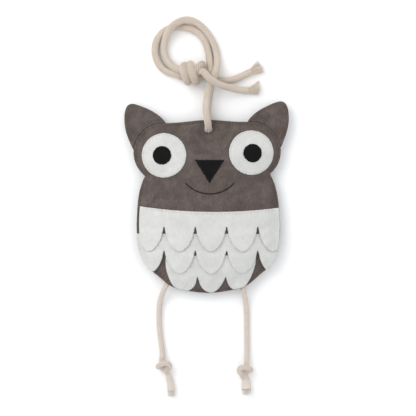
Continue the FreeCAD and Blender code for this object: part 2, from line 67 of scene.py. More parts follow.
SENSOR = 36.0


def make_camera():
    data = bpy.data.cameras.new("camera")
    data.lens, data.sensor_width = LENS, SENSOR
    data.clip_start, data.clip_end = 0.05, 20.0
    camera = bpy.data.objects.new("camera", data)
    height = OWL_MIDDLE_Z + VIEW_WIDTH * LENS / SENSOR
    camera.location = (VIEW_CENTRE[0] * MM, VIEW_CENTRE[1] * MM, height * MM)
    camera.rotation_euler = (0, 0, math.radians(VIEW_TURN))
    bpy.context.collection.objects.link(camera)
    bpy.context.scene.camera = camera


def area_light(name, place, size, power, colour=(1, 1, 1)):
    data = bpy.data.lights.new(name, "AREA")
    data.shape, data.size, data.energy, data.color = "DISK", size, power, colour
    light = bpy.data.objects.new(name, data)
    light.location = place
    light.rotation_mode = "QUATERNION"
    light.rotation_quaternion = (-Vector(place)).to_track_quat("-Z", "Y")
    bpy.context.collection.objects.link(light)


def make_studio():
    scene = bpy.context.scene
    scene.view_settings.view_transform = "Standard"
    scene.view_settings.look = "None"
    area_light("key", (-0.95, 0.75, 1.25), 1.3, 11.0, (1.0, 0.99, 0.97))
    area_light("fill", (1.2, -0.5, 1.0), 1.6, 1.4, (0.96, 0.98, 1.0))
    world = bpy.data.worlds.new("studio")
    world.use_nodes = True
    background = world.node_tree.nodes["Background"]
    background.inputs["Color"].default_value = (0.97, 0.985, 1.0, 1)
    background.inputs["Strength"].default_value = 0.97
    scene.world = world
    mesh = bpy.data.meshes.new("table")
    half = 4.0
    mesh.from_pydata([(-half, -half, -0.0002), (half, -half, -0.0002), (half, half, -0.0002),
                      (-half, half, -0.0002)], [], [(0, 1, 2, 3)])
    table = bpy.data.objects.new("table", mesh)
    bpy.context.collection.objects.link(table)
    material, _, shader = new_material("table_white", 0.9)
    shader.inputs["Base Color"].default_value = (0.98, 0.98, 0.98, 1)
    mesh.materials.append(material)


# ---------------------------------------------------------------- materials
def srgb(red, green, blue):
    """Linear colour of an 8-bit screen colour."""
    def linear(c):
        c /= 255
        return c / 12.92 if c <= 0.04045 else ((c + 0.055) / 1.055) ** 2.4
    return (linear(red), linear(green), linear(blue), 1.0)


def new_material(name, roughness, sheen=0.0):
    material = bpy.data.materials.new(name)
    material.use_nodes = True
    shader = material.node_tree.nodes["Principled BSDF"]
    shader.inputs["Roughness"].default_value = roughness
    shader.inputs["Specular IOR Level"].default_value = 0.18
    shader.inputs["Sheen Weight"].default_value = sheen
    shader.inputs["Sheen Roughness"].default_value = 0.45
    return material, material.node_tree, shader


def add(tree, kind, **values):
    """New node with its inputs set by name: an output socket links, anything else is a value."""
    made = tree.nodes.new(kind)
    for key, value in values.items():
        socket = made.inputs[key.replace("_", " ")] if not key.startswith("i") else made.inputs[int(key[1:])]
        if isinstance(value, bpy.types.NodeSocket):
            tree.links.new(value, socket)
        else:
            socket.default_value = value
    return made


def noise_of(tree, vector, scale, detail=3.0, rough=0.55, distortion=0.0):
    made = add(tree, "ShaderNodeTexNoise", Vector=vector, Scale=scale, Detail=detail, Roughness=rough,
               Distortion=distortion)
    return made.outputs["Fac"]


def maths(tree, operation, a, b, clamp=False):
    made = add(tree, "ShaderNodeMath", i0=a, i1=b)
    made.operation, made.use_clamp = operation, clamp
    return made.outputs[0]


def ramp(tree, factor, stops):
    """Colour ramp from (position, colour) pairs."""
    made = add(tree, "ShaderNodeValToRGB", Fac=factor)
    elements = made.color_ramp.elements
    while len(elements) < len(stops):
        elements.new(0.5)
    for element, (position, colour) in zip(elements, stops):
        element.position, element.color = position, colour
    return made.outputs["Color"]


def scaled(tree, vector, scale):
    made = add(tree, "ShaderNodeVectorMath", i0=vector, i1=scale)
    made.operation = "MULTIPLY"
    return made.outputs[0]


def in_mm(tree):
    """Object coordinates in millimetres."""
    return scaled(tree, add(tree, "ShaderNodeTexCoord").outputs["Object"], (1000, 1000, 1000))


def set_bump(tree, shader, height, strength, distance):
    made = add(tree, "ShaderNodeBump", Height=height, Strength=strength, Distance=distance)
    tree.links.new(made.outputs["Normal"], shader.inputs["Normal"])


def nap_material(name, dark, middle, light, sheen, patchy=1.0, depth=1.0):
    """Brushed suede or felt: cloudy patches, brush strokes and fine fibres."""
    material, tree, shader = new_material(name, 0.92, sheen)
    at = in_mm(tree)
    patches = noise_of(tree, at, 0.07, 4, 0.6, 0.4)
    strokes = noise_of(tree, scaled(tree, at, (0.55, 0.2, 0.5)), 1.0, 4, 0.62, 0.8)
    fibres = noise_of(tree, at, 2.4, 4, 0.7)
    shade = maths(tree, "ADD", maths(tree, "MULTIPLY", patches, 0.45 * patchy),
                  maths(tree, "MULTIPLY", strokes, 0.35))
    shade = maths(tree, "ADD", shade, maths(tree, "MULTIPLY", fibres, 0.45))
    middle_of = 0.5 * (0.45 * patchy + 0.35 + 0.45)
    colour = ramp(tree, shade, [(middle_of - 0.2, dark), (middle_of, middle), (middle_of + 0.22, light)])
    tree.links.new(colour, shader.inputs["Base Color"])
    height = maths(tree, "ADD", maths(tree, "MULTIPLY", fibres, 0.7), maths(tree, "MULTIPLY", strokes, 0.5))
    set_bump(tree, shader, height, 0.55 * depth, 0.35 * MM)
    return material


def cut_material(name, dark, light):
    """Raw cut edge of suede: loose fibre in layers along the sheet."""
    material, tree, shader = new_material(name, 0.95, 0.1)
    at = in_mm(tree)
    layers = noise_of(tree, scaled(tree, at, (1.2, 1.2, 5.0)), 1.0, 4, 0.7)
    tree.links.new(ramp(tree, layers, [(0.3, dark), (0.7, light)]), shader.inputs["Base Color"])
    set_bump(tree, shader, layers, 0.6, 0.25 * MM)
    return material


def yarn_material(name, dark, middle, light, sheen=0.15, gap=None, shown_from=(0.0, 1.0)):
    """Spun yarn: streaks along each thread, from the attribute "yarn" (length along it, then round it).

    In a braid the strands darken to gap where they dive under, from the attribute "crown": gap is painted
    shade, the shadow deep in the weave, not a colour of the yarn."""
    material, tree, shader = new_material(name, 0.85, sheen)
    attribute = tree.nodes.new("ShaderNodeAttribute")
    attribute.attribute_name = "yarn"
    at = attribute.outputs["Vector"]
    streaks = noise_of(tree, scaled(tree, at, (0.9, 2.2, 2.2)), 1.0, 4, 0.65, 0.6)
    slubs = noise_of(tree, scaled(tree, at, (0.11, 0.2, 0.2)), 1.0, 3, 0.6)
    fuzz = noise_of(tree, in_mm(tree), 5.0, 3, 0.7)
    shade = maths(tree, "ADD", maths(tree, "MULTIPLY", streaks, 0.45), maths(tree, "MULTIPLY", slubs, 0.4))
    shade = maths(tree, "ADD", shade, maths(tree, "MULTIPLY", fuzz, 0.25))
    colour = ramp(tree, shade, [(0.4, dark), (0.54, middle), (0.7, light)])
    # painted shade: each strand is mixed towards the gap colour where it dives under the weave
    if gap:
        crown = tree.nodes.new("ShaderNodeAttribute")
        crown.attribute_name = "crown"
        shown = add(tree, "ShaderNodeMapRange", Value=crown.outputs["Fac"], From_Min=shown_from[0],
                    From_Max=shown_from[1])
        mixed = add(tree, "ShaderNodeMix", i0=shown.outputs[0], i6=gap, i7=colour)
        mixed.data_type = "RGBA"
        colour = mixed.outputs[2]
    tree.links.new(colour, shader.inputs["Base Color"])
    height = maths(tree, "ADD", streaks, maths(tree, "MULTIPLY", fuzz, 0.6))
    set_bump(tree, shader, height, 0.6, 0.12 * MM)
    return material


MATERIALS = {
    "suede": nap_material("suede", srgb(71, 63, 59), srgb(90, 80, 76), srgb(113, 102, 98), 0.1, 1.1, 1.0),
    "suede_cut": cut_material("suede_cut", srgb(54, 47, 43), srgb(86, 76, 69)),
    "white_suede": nap_material("white_suede", srgb(188, 188, 185), srgb(203, 203, 200), srgb(218, 218, 215),
                                0.08, 0.8, 0.8),
    "white_cut": cut_material("white_cut", srgb(156, 156, 154), srgb(194, 194, 191)),
    "black_felt": nap_material("black_felt", srgb(9, 9, 10), srgb(14, 14, 15), srgb(24, 24, 25),
                               0.0, 0.8, 1.0),
    "black_cut": cut_material("black_cut", srgb(8, 8, 8), srgb(22, 22, 22)),
    "brown_thread": yarn_material("brown_thread", srgb(62, 52, 47), srgb(84, 73, 67), srgb(110, 98, 91)),
    "white_thread": yarn_material("white_thread", srgb(182, 182, 179), srgb(204, 204, 201),
                                  srgb(222, 222, 220)),
    "black_thread": yarn_material("black_thread", srgb(14, 13, 13), srgb(24, 22, 21), srgb(44, 40, 38)),
    # rope: the colour after its three yarn colours is painted shade for where strands dive under the weave
    "rope": yarn_material("rope", srgb(204, 188, 170), srgb(228, 216, 202), srgb(244, 237, 228), 0.15,
                          srgb(128, 103, 84), (0.22, 0.8)),
    "rope_fray": yarn_material("rope_fray", srgb(176, 156, 136), srgb(220, 206, 190),
                               srgb(247, 241, 233), 0.25),
    "rope_core": yarn_material("rope_core", srgb(96, 72, 56), srgb(124, 98, 78), srgb(150, 124, 102)),
    # cord: the colour after its three yarn colours is painted shade for where strands dive under the weave
    "cord": yarn_material("cord", srgb(206, 193, 182), srgb(222, 212, 203), srgb(236, 229, 222), 0.15,
                          srgb(176, 160, 148), (0.22, 0.8)),
    "cord_fray": yarn_material("cord_fray", srgb(208, 196, 186), srgb(224, 215, 207),
                               srgb(238, 232, 226), 0.2),
    "cord_core": yarn_material("cord_core", srgb(158, 140, 126), srgb(176, 160, 148), srgb(196, 182, 170)),
    "stuffing": nap_material("stuffing", srgb(205, 203, 198), srgb(224, 222, 218), srgb(242, 241, 238), 0.3),
}


# ---------------------------------------------------------------- lines of cords
class Solid:
    """Gathers tubes for one mesh, with the attribute that the yarn materials read."""

    def __init__(self):
        self.points, self.faces, self.yarn, self.crown, self.slots = [], [], [], [], []
        self.count = 0

    def tube(self, centres, side, up, wide, high, sides, along, ident, slot=0, over=None):
        """Closed tube: an ellipse of half sizes wide along side and high along up, at each centre.

        over, for a braid's strand, is how far out of the weave it lies at each centre, 0 to 1; it is stored
        as the attribute "crown", which the yarn materials turn into painted shade where it is low."""
        rows = len(centres)
        angle = np.arange(sides) * 2 * math.pi / sides
        wide = np.broadcast_to(np.asarray(wide, float), rows)[:, None, None]
        high = np.broadcast_to(np.asarray(high, float), rows)[:, None, None]
        ring = (centres[:, None] + wide * np.cos(angle)[None, :, None] * side[:, None]
                + high * np.sin(angle)[None, :, None] * up[:, None])
        self.points.append(ring.reshape(-1, 3))
        mark = np.empty((rows, sides, 3))
        mark[:, :, 0] = np.asarray(along)[:, None] + 53.0 * ident
        mark[:, :, 1] = np.cos(angle)
        mark[:, :, 2] = np.sin(angle)
        self.yarn.append(mark.reshape(-1, 3))
        # crown: 1 out of the weave, lower where a strand dives under; the braid materials paint shade from it
        crown = np.ones((rows, sides))
        if over is not None:
            crown = np.asarray(over)[:, None] * np.clip(np.sin(angle), 0, 1)[None, :]
        self.crown.append(crown.ravel())
        row, column = np.meshgrid(np.arange(rows - 1), np.arange(sides), indexing="ij")
        nxt = (column + 1) % sides
        quads = np.stack([row * sides + column, row * sides + nxt, (row + 1) * sides + nxt,
                          (row + 1) * sides + column], axis=-1).reshape(-1, 4) + self.count
        self.faces.extend(quads.tolist())
        self.faces.append(list(range(self.count + sides - 1, self.count - 1, -1)))
        last = self.count + (rows - 1) * sides
        self.faces.append(list(range(last, last + sides)))
        self.slots.extend([slot] * (len(quads) + 2))
        self.count += rows * sides

    def make(self, name, *materials):
        """The mesh object, in metres."""
        mesh = bpy.data.meshes.new(name)
        points = np.concatenate(self.points) * MM
        mesh.from_pydata(points.tolist(), [], self.faces)
        for material in materials:
            mesh.materials.append(MATERIALS[material])
        mesh.polygons.foreach_set("material_index", self.slots)
        mesh.polygons.foreach_set("use_smooth", [True] * len(self.faces))
        yarn = mesh.attributes.new("yarn", "FLOAT_VECTOR", "POINT")
        yarn.data.foreach_set("vector", np.concatenate(self.yarn).astype(np.float32).ravel())
        crown = mesh.attributes.new("crown", "FLOAT", "POINT")
        crown.data.foreach_set("value", np.concatenate(self.crown).astype(np.float32))
        mesh.update()
        made = bpy.data.objects.new(name, mesh)
        bpy.context.collection.objects.link(made)
        return made


def unit(vectors):
    return vectors / np.maximum(np.linalg.norm(vectors, axis=-1, keepdims=True), 1e-12)


def nurbs_line(route, step):
    """Evenly spaced points along the smooth line of a route's points, in mm."""
    curve = bpy.data.curves.new("route", "CURVE")
    curve.dimensions = "3D"
    curve.resolution_u = 40
    spline = curve.splines.new("NURBS")
    spline.points.add(len(route) - 1)
    for point, place in zip(spline.points, route):
        point.co = (place[0] * MM, place[1] * MM, place[2] * MM, 1)
    spline.order_u = 3
    spline.use_endpoint_u = True
    holder = bpy.data.objects.new("route", curve)
    mesh = bpy.data.meshes.new_from_object(holder)
    points = np.array([v.co for v in mesh.vertices], float) / MM
    bpy.data.objects.remove(holder)
    bpy.data.curves.remove(curve)
    bpy.data.meshes.remove(mesh)
    return evenly(points, step)


def evenly(points, step):
    """Points a step apart along a line of points, and their distances along it."""
    gaps = np.linalg.norm(np.diff(points, axis=0), axis=1)
    along = np.concatenate([[0.0], np.cumsum(gaps)])
    at = np.linspace(0, along[-1], max(2, int(round(along[-1] / step)) + 1))
    return np.stack([np.interp(at, along, points[:, k]) for k in range(3)], axis=1), at


def carried_frames(points):
    """Tangent and two crosswise directions along a line, without twist."""
    tangent = unit(np.gradient(points, axis=0))
    across = np.empty_like(points)
    direction = np.cross(tangent[0], (0.0, 0.0, 1.0))
    if np.linalg.norm(direction) < 0.1:
        direction = np.cross(tangent[0], (1.0, 0.0, 0.0))
    for k, t in enumerate(tangent):
        direction = direction - t * float(direction @ t)
        direction /= np.linalg.norm(direction)
        across[k] = direction
    return tangent, across, np.cross(tangent, across)


BRAIDS = {
    # radius, carriers, turn length, half width and half thickness of a strand, weave depth, core radius
    "rope": (4.4, 16, 19.6, 0.92, 0.54, 0.46, 3.05),
    "cord": (3.4, 16, 17.4, 0.76, 0.44, 0.22, 2.35),
}


def braid(solid, kind, points, along, frames, width=None):
    """Braided sleeve round a line, strands over and under each other in turn, with its core."""
    radius, carriers, turn, half_width, half_thick, weave, core = BRAIDS[kind]
    _, across, other = frames
    swell = np.ones(len(points)) if width is None else width
    middle = radius - half_thick - weave
    ident = 0
    for direction in (1, -1):
        wave = direction * np.cos(math.pi * carriers * along / turn)
        lift = middle + weave * wave
        for k in range(carriers // 2):
            angle = 2 * math.pi * (k / (carriers / 2) + direction * along / turn)
            out = across * np.cos(angle)[:, None] + other * np.sin(angle)[:, None]
            centres = points + out * (lift * swell)[:, None]
            heading = unit(np.gradient(centres, axis=0))
            side = unit(np.cross(heading, out))
            # the last argument is how far the strand lies out of the weave, from which the painted shade in
            # the weave is drawn
            solid.tube(centres, side, np.cross(side, heading), half_width * swell, half_thick * swell, 8,
                       along, ident, 0, 0.5 + 0.5 * wave)
            ident += 1
    keep = slice(None, None, 3)
    solid.tube(points[keep], across[keep], other[keep], core * swell[keep], core * swell[keep], 10,
               along[keep], ident, 1)


ROPE_FRONT = [
    (1.9, 94.5, 4.4), (1.9, 87.5, 4.4), (1.9, 82.5, 9.4), (1.9, 82.5, 16.4), (1.7, 87.5, 21.4),
    (0.6, 95.0, 21.3), (-1.0, 105.0, 17.0), (0.2, 115.5, 13.8), (2.2, 126.0, 15.6), (5.2, 136.0, 18.8),
    (9.6, 146.0, 18.2), (13.2, 156.0, 10.6), (14.2, 167.0, 5.2), (12.8, 179.0, 4.4), (8.6, 190.0, 4.4),
    (1.6, 200.6, 4.4), (-7.6, 210.6, 5.0), (-18.8, 215.3, 9.2), (-29.6, 213.7, 13.0), (-39.2, 207.8, 13.4),
    (-46.4, 198.4, 9.6), (-50.0, 187.0, 5.2), (-50.4, 175.8, 4.4), (-46.6, 165.6, 5.0), (-39.6, 158.4, 7.8),
    (-31.6, 154.6, 11.4), (-25.0, 152.8, 13.4),
]
ROPE_REAR = [
    (1.9, 94.5, 4.4), (1.5, 101.5, 4.4), (2.0, 110.5, 4.4), (3.4, 120.0, 5.0), (5.2, 129.5, 8.0),
    (6.2, 138.5, 12.0), (6.0, 147.5, 12.0), (5.4, 156.5, 7.8), (4.8, 166.5, 4.7), (3.6, 177.0, 4.4),
    (0.2, 188.4, 4.4), (-6.0, 198.0, 4.4), (-16.2, 205.0, 4.4), (-28.4, 207.8, 4.4), (-41.0, 206.6, 4.4),
    (-52.2, 201.2, 4.4), (-59.6, 190.7, 4.4), (-61.7, 178.0, 4.4), (-58.9, 165.6, 4.4), (-51.6, 155.6, 4.4),
    (-43.0, 151.6, 5.0), (-34.0, 149.6, 7.2),
]
# In the knot the front strand goes through the middle, out over its top right corner and back under.
FRONT_KNOT = [
    (-18.0, 151.0, 12.0), (-11.0, 150.5, 9.5), (-5.6, 153.5, 5.6), (-3.4, 160.4, 9.6), (-4.6, 161.0, 16.6),
    (-9.0, 156.4, 19.8), (-14.0, 151.4, 16.4), (-16.6, 147.6, 11.4), (-13.4, 147.6, 9.6),
    (-10.6, 150.6, 13.6),
]
# The rear strand wraps round it twice, and goes on behind.
REAR_KNOT = [
    (-29.5, 147.0, 7.4), (-26.8, 146.6, 4.8), (-26.2, 155.0, 4.8), (-25.8, 160.6, 10.4), (-26.8, 157.0, 18.4),
    (-25.6, 148.6, 21.2), (-23.0, 141.4, 17.6), (-21.6, 139.4, 9.6), (-20.8, 145.4, 4.8), (-19.4, 155.4, 4.8),
    (-18.2, 162.2, 9.8), (-18.9, 158.4, 19.0), (-17.2, 149.6, 22.2), (-13.4, 141.8, 18.8),
    (-11.8, 139.0, 10.4),
    (-11.4, 144.0, 4.6),
]
ROPE_FRONT_TAIL = [
    (-3.5, 152.5, 19.4), (-0.6, 147.6, 23.8), (4.6, 141.6, 25.9), (11.0, 137.0, 24.6), (20.0, 133.4, 19.4),
    (31.4, 131.4, 11.8), (41.0, 129.6, 6.0), (50.6, 129.0, 4.4),
]
ROPE_REAR_TAIL = [
    (-7.0, 148.6, 6.8), (1.0, 146.6, 4.8), (9.2, 144.0, 4.4), (18.0, 141.6, 4.4), (27.0, 141.2, 4.4),
    (36.4, 143.6, 4.4), (45.8, 147.6, 4.4), (54.6, 151.4, 4.4),
]
LEFT_LEG = [
    (-52.8, -106.2, 12.5), (-56.0, -112.9, 10.8), (-58.4, -118.8, 7.4), (-60.5, -127.5, 4.4),
    (-61.5, -138.6, 3.4), (-61.7, -150.7, 3.4), (-60.8, -163.0, 3.4), (-59.3, -175.5, 3.4),
    (-58.0, -187.4, 3.8),
]
RIGHT_LEG = [
    (40.8, -111.6, 12.5), (41.5, -117.0, 10.8), (43.1, -124.0, 7.0), (44.3, -132.6, 4.2), (44.7, -144.0, 3.4),
    (44.5, -158.6, 3.4), (44.4, -173.6, 3.4), (44.3, -187.6, 3.9),
]
LEFT_FOOT = [
    (-52.0, -211.8, 3.9), (-50.1, -218.2, 3.4), (-48.7, -225.8, 3.4), (-48.3, -232.2, 3.4),
]
RIGHT_FOOT = [
    (41.9, -218.6, 3.9), (42.4, -225.0, 3.4), (42.7, -231.4, 3.4),
]
# Overhand knot in cord diameters, from its middle: the cord comes down, goes round itself and out below.
OVERHAND = [
    (-0.25, 1.30, -0.30), (-0.30, 0.40, -0.10), (-0.40, -0.45, 0.00), (0.10, -0.95, -0.15),
    (0.90, -0.80, 0.00),
    (1.25, -0.10, 0.25), (0.95, 0.50, 0.62), (0.15, 0.62, 0.92), (-0.70, 0.42, 0.80), (-1.22, 0.10, 0.15),
    (-1.00, -0.02, -0.60), (-0.25, 0.05, -0.85), (0.45, 0.05, -0.62), (0.62, -0.30, 0.15),
    (0.52, -0.80, 0.62),
    (0.42, -1.35, 0.05),
]
SEAM_HIDE = 7.0            # length of each leg's cord that is held inside the seam
KNOT_DEPTH = 0.86          # the knot's pull on the soft cord, from front to back
LEFT_KNOT = ((-56.6, -202.0, 8.1), 8.0, 1)
RIGHT_KNOT = ((41.4, -208.2, 8.1), -4.0, -1)
CORD_D = 6.8
KNOT_CORD = 5.9            # the cord as squeezed in its knot


def overhand(knot):
    """The overhand knot's points in place: its middle, its turn in degrees and its side."""
    (x, y, z), turn, side = knot
    c, s = math.cos(math.radians(turn)), math.sin(math.radians(turn))
    placed = []
    for u, v, w in OVERHAND:
        u, v, w = side * u * KNOT_CORD, v * KNOT_CORD, w * CORD_D * KNOT_DEPTH
        placed.append((x + c * u - s * v, y + s * u + c * v, z + w))
    return placed


def tuft(name, end, heading, radius, length, spread, yarns, seed, material, lean=(0, 0, 0)):
    """Loose cut yarns at a cord's end, with a few thinner fibres among them."""
    random.seed(seed)
    heading = unit(np.array(heading, float))
    across = unit(np.cross(heading, (0, 0, 1.0)))
    other = np.cross(heading, across)
    solid = Solid()
    for k in range(yarns):
        r = radius * 0.86 * math.sqrt((k + 0.5) / yarns)
        angle = k * 2.39996 + random.uniform(-0.3, 0.3)
        out = across * math.cos(angle) + other * math.sin(angle)
        far = length * random.uniform(0.78, 1.06)
        thick = random.uniform(0.26, 0.42) if k % 3 else random.uniform(0.12, 0.2)
        if k % 3 == 0:
            far *= random.uniform(0.9, 1.12)
        flare = spread * random.uniform(0.6, 1.25)
        wave = random.uniform(0.2, 0.7)
        phase = random.uniform(0, 6.28)
        bend = np.array(lean, float) * random.uniform(0.5, 1.2)
        at = np.linspace(0, 1, 11)
        points = (end - heading * 2.0 + heading * ((far + 2.0) * at)[:, None]
                  + out * (r * (1 + (flare - 1) * at ** 1.6))[:, None]
                  + across * (wave * np.sin(phase + 5.0 * at) * at)[:, None]
                  + other * (wave * np.cos(phase + 4.0 * at) * at)[:, None] + bend * (at ** 2)[:, None])
        points[:, 2] = np.maximum(points[:, 2], thick + 0.05)
        _, side, up = carried_frames(points)
        size = thick * np.array([1, 1, 1, 1, 1, 1, 1, 1, 0.95, 0.85, 0.5])
        solid.tube(points, side, up, size, size, 6, at * far, k)
    return solid.make(name, material)


def make_rope():
    """One rope through the hole, in two meshes that meet behind the head."""
    front, _ = nurbs_line(ROPE_FRONT + FRONT_KNOT + ROPE_FRONT_TAIL, 0.4)
    rear, _ = nurbs_line(ROPE_REAR + REAR_KNOT + ROPE_REAR_TAIL, 0.4)
    whole = np.concatenate([rear[::-1], front[1:]])
    gaps = np.linalg.norm(np.diff(whole, axis=0), axis=1)
    along = np.concatenate([[0.0], np.cumsum(gaps)])
    frames = carried_frames(whole)
    join = len(rear) - 1
    ends = {"front": (slice(join, None), front, (0, 4.6, 0), 11,
                      ("rope_front_strand", "rope_knot", "rope_front_tail")),
            "rear": (slice(0, join + 1), rear, (0, 0.6, 0), 5,
                     ("rope_rear_strand", "rope_rear_tail"))}
    for name, (part, line, lean, seed, replaced) in ends.items():
        solid = Solid()
        at = whole[part]
        wrap = 0.17 * np.exp(-((at[:, 0] + 18.5) / 11.0) ** 4 - ((at[:, 1] - 150.0) / 13.0) ** 4)
        braid(solid, "rope", at, along[part], [f[part] for f in frames], 1 + wrap)
        piece = solid.make("rope_%s_braid" % name, "rope", "rope_core")
        end, heading = line[-1], line[-1] - line[-8]
        fray = tuft("rope_%s_tuft" % name, end, heading, 4.6, 14.0, 2.1, 130, seed, "rope_fray", lean)
        for made in (piece, fray):
            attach(made, "rope")
        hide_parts(*replaced)
        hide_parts("rope_%s_fray" % name)


def make_legs():
    for side, leg, knot, foot, seed, loose in (("left", LEFT_LEG, LEFT_KNOT, LEFT_FOOT, 3, 0.42),
                                               ("right", RIGHT_LEG, RIGHT_KNOT, RIGHT_FOOT, 8, 0.82)):
        inward = unit(np.array(leg[0]) - np.array((leg[1][0], leg[1][1], leg[0][2])))
        held = tuple(np.array(leg[0]) + inward * SEAM_HIDE)
        line, along = nurbs_line([held] + leg + overhand(knot) + foot, 0.33)
        width = 1 + loose * np.clip(1 - (along[-1] - along) / 23.0, 0, 1)
        line[:, 2] = np.maximum(line[:, 2], CORD_D / 2 * width)
        frames = carried_frames(line)
        solid = Solid()
        braid(solid, "cord", line, along, frames, width)
        piece = solid.make(side + "_leg_braid", "cord", "cord_core")
        fray = tuft(side + "_foot_tuft", line[-1], line[-1] - line[-8], 3.1 * (1 + loose), 7.0, 1.2, 96, seed,
                    "cord_fray")
        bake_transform(piece)
        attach(fray, side + "_leg")
        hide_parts(side + "_leg_root", side + "_leg_cord", side + "_leg_knot", side + "_foot")
        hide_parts(side + "_foot_fray")


# ---------------------------------------------------------------- flat pieces from their CAD outlines
def tidy_mesh(node):
    """The CAD node's mesh with its shared points joined."""
    made = bmesh.new()
    made.from_mesh(nodes[node].data)
    bmesh.ops.remove_doubles(made, verts=made.verts, dist=1e-6)
    made.normal_update()
    return made


def rims(node):
    """Outlines of a sheet's top, seen from above, in mm: the outer one first, then any holes."""
    made = tidy_mesh(node)
    ahead = {}
    for edge in made.edges:
        if sum(f.normal.z > 0.3 for f in edge.link_faces) == 1:
            a, b = edge.verts[0].index, edge.verts[1].index
            ahead.setdefault(a, []).append(b)
            ahead.setdefault(b, []).append(a)
    places = [(v.co.x / MM, v.co.y / MM) for v in made.verts]
    made.free()
    loops, seen = [], set()
    for start in ahead:
        if start in seen:
            continue
        loop, here = [start], start
        seen.add(start)
        while True:
            following = [n for n in ahead[here] if n not in seen]
            if not following:
                break
            here = following[0]
            seen.add(here)
            loop.append(here)
        if len(loop) > 7:
            loops.append(np.array([places[n] for n in loop]))
    loops.sort(key=lambda loop: -np.ptp(loop[:, 0]))
    return [counterclockwise(loop) for loop in loops]


def counterclockwise(loop):
    x, y = loop[:, 0], loop[:, 1]
    area = (x * np.roll(y, -1) - y * np.roll(x, -1)).sum()
    return loop if area > 0 else loop[::-1]


def even_loop(loop, step, corner=28.0):
    """Closed loop with even spacing that keeps its sharp corners."""
    kept = [loop[0]]
    for point in loop[1:]:
        if np.linalg.norm(point - kept[-1]) > 0.12:
            kept.append(point)
    loop = np.array(kept)
    back = loop - np.roll(loop, 1, axis=0)
    forth = np.roll(loop, -1, axis=0) - loop
    turn = np.abs(np.degrees(np.arctan2(back[:, 0] * forth[:, 1] - back[:, 1] * forth[:, 0],
                                        (back * forth).sum(1))))
    corners = [int(k) for k in np.nonzero(turn > corner)[0]] or [0]
    result = []
    for a, b in zip(corners, corners[1:] + [corners[0] + len(loop)]):
        run = loop[np.arange(a, b + 1) % len(loop)]
        along = np.concatenate([[0.0], np.cumsum(np.linalg.norm(np.diff(run, axis=0), axis=1))])
        at = np.linspace(0, along[-1], max(1, int(round(along[-1] / step))) + 1)[:-1]
        result.append(np.stack([np.interp(at, along, run[:, k]) for k in range(2)], axis=1))
    return np.concatenate(result)


def inside(points, loop):
    x, y = points[:, 0], points[:, 1]
    found = np.zeros(len(points), bool)
    for (ax, ay), (bx, by) in zip(loop, np.roll(loop, -1, axis=0)):
        if ay != by:
            found ^= ((ay > y) != (by > y)) & (x < ax + (y - ay) * (bx - ax) / (by - ay))
    return found


def edge_distance(points, loops):
    """Distance of each point to the nearest outline."""
    nearest = np.full(len(points), 1e9)
    for loop in loops:
        for a, b in zip(loop, np.roll(loop, -1, axis=0)):
            run = b - a
            t = np.clip(((points - a) @ run) / max(float(run @ run), 1e-12), 0, 1)
            nearest = np.minimum(nearest, np.linalg.norm(points - a - t[:, None] * run, axis=1))
    return nearest


def triangulate(loops, rings, spacing):
    """Flat mesh of the area between outlines: points along each ring inwards, then an even field."""
    given = np.concatenate(loops)
    sheets = [given]
    for distance, step in rings:
        for loop in loops:
            along = even_loop(loop, step)
            heading = unit(np.roll(along, -1, axis=0) - np.roll(along, 1, axis=0))
            inward = np.stack([-heading[:, 1], heading[:, 0]], axis=1)
            if loop is not loops[0]:
                inward = -inward
            sheets.append(keep_far(along + inward * distance, loops, 0.93 * distance))
    low, high = loops[0].min(0), loops[0].max(0)
    rise = spacing * math.sqrt(3) / 2
    field = [(x + (k % 2) * spacing / 2, y) for k, y in enumerate(np.arange(low[1], high[1], rise))
             for x in np.arange(low[0], high[0], spacing)]
    reach = rings[-1][0] if rings else 0.0
    sheets.append(keep_far(np.array(field), loops, reach + 0.55 * spacing))
    points = thinned(sheets, [0.0] + [0.5 * step for _, step in rings for _ in loops] + [0.5 * spacing])
    edges, start = [], 0
    for loop in loops:
        edges += [(start + k, start + (k + 1) % len(loop)) for k in range(len(loop))]
        start += len(loop)
    result = geometry.delaunay_2d_cdt([Vector(p) for p in points], edges, [], 0, 1e-6)
    flat = np.array([(v.x, v.y) for v in result[0]])
    faces = np.array([f for f in result[2] if len(f) == 3])
    middle = flat[faces].mean(1)
    keep = inside(middle, loops[0])
    for hole in loops[1:]:
        keep &= ~inside(middle, hole)
    faces = faces[keep]
    a, b, c = (flat[faces[:, k]] for k in range(3))
    clockwise = np.cross(b - a, c - a) < 0
    faces[clockwise] = faces[clockwise][:, ::-1]
    return flat, faces


def keep_far(points, loops, distance):
    """The points within the piece and at least a distance from its outlines."""
    keep = inside(points, loops[0])
    for hole in loops[1:]:
        keep &= ~inside(points, hole)
    points = points[keep]
    return points[edge_distance(points, loops) >= distance]


def thinned(sheets, gaps):
    """All the sheets' points, without those nearer than their sheet's gap to an earlier one."""
    cells, kept = {}, []
    size = 1.5
    for sheet, gap in zip(sheets, gaps):
        reach = int(math.ceil(gap / size))
        for x, y in sheet:
            i, j = int(x // size), int(y // size)
            near = any(math.hypot(x - px, y - py) < gap
                       for di in range(-reach, reach + 1) for dj in range(-reach, reach + 1)
                       for px, py in cells.get((i + di, j + dj), ()))
            if not near:
                kept.append((x, y))
                cells.setdefault((i, j), []).append((x, y))
    return kept


def tree_of(points, faces):
    return BVHTree.FromPolygons([tuple(p) for p in points], [tuple(f) for f in faces])


def node_tree(node):
    made = tidy_mesh(node)
    found = BVHTree.FromBMesh(made)
    made.free()
    return found


def ray_heights(tree, points, scale, downwards=True):
    """Height of a surface at each x, y, seen from above or from below; mm."""
    far = 0.3 / MM * scale
    heights = np.empty(len(points))
    for k, (x, y) in enumerate(points):
        start = Vector((x * scale, y * scale, far if downwards else -far))
        hit = tree.ray_cast(start, Vector((0, 0, -1 if downwards else 1)))[0]
        if hit is None:
            guess = Vector((x * scale, y * scale, 14.0 * scale))
            hit = tree.find_nearest(guess)[0]
        heights[k] = hit.z / scale
    return heights


